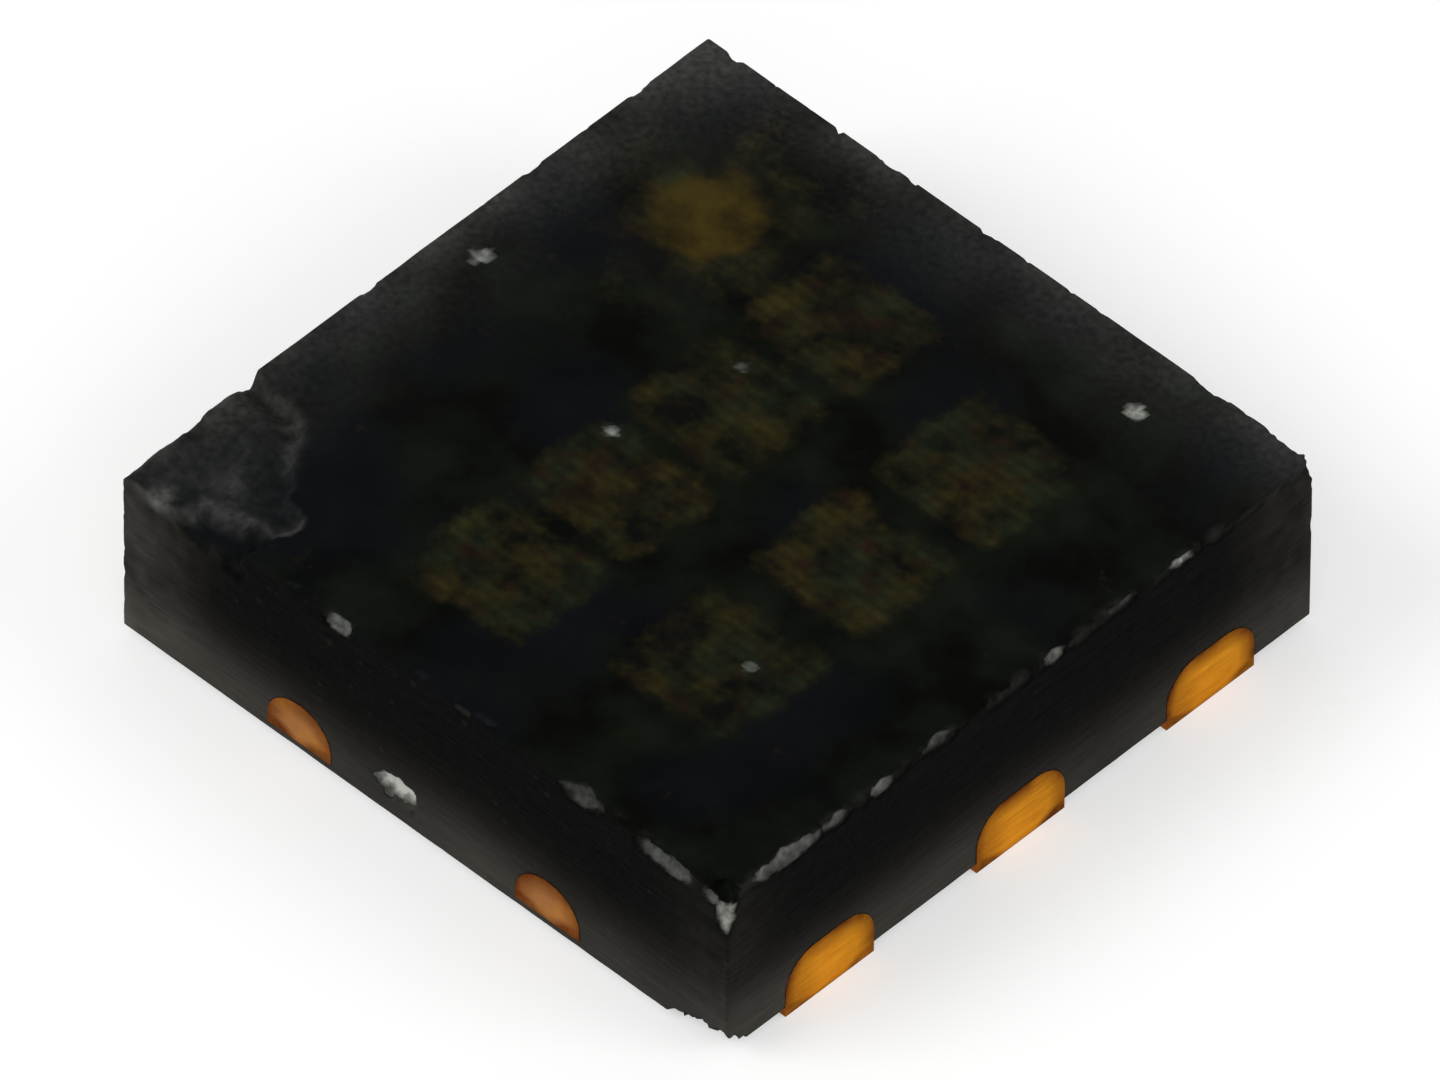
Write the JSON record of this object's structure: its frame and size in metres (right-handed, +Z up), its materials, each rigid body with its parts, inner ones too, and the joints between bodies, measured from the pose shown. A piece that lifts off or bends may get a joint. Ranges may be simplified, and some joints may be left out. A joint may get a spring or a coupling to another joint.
{
  "type": "smd transistor",
  "caption": "Leadless square plastic power transistor package with sawn copper lead ends, exposed pads underneath and a lead 1 dot on top.",
  "frame": {"origin": "centre of the seating plane, the plane of the terminals' undersides", "axes": "+Z up, out of the marked top. X runs across the two rows of leads and Y along them. Lead 1 is at -X +Y, leads 1 to 3 run down the -X side and leads 4 to 6 up the +X side."},
  "size_m": [0.002, 0.002, 0.0006],
  "materials": {
    "mold_compound": "moulded silica-filled epoxy, matte, sawn sides",
    "leadframe_copper": "etched and sawn copper, matte tin on the undersides",
    "solder": "reflowed solder, satin",
    "silicon": "sawn silicon with aluminium metal on top",
    "bond_wire": "drawn bare copper wire, bright"
  },
  "bodies": {
    "root": {"mold_body": "mold_compound", "drain_frame": "leadframe_copper", "source_lead": "leadframe_copper", "gate_lead": "leadframe_copper", "die_attach": "solder", "mosfet_die": "silicon", "source_wire_1": "bond_wire", "source_wire_2": "bond_wire", "source_wire_3": "bond_wire", "source_wire_4": "bond_wire", "gate_wire": "bond_wire"}
  },
  "joints": []
}
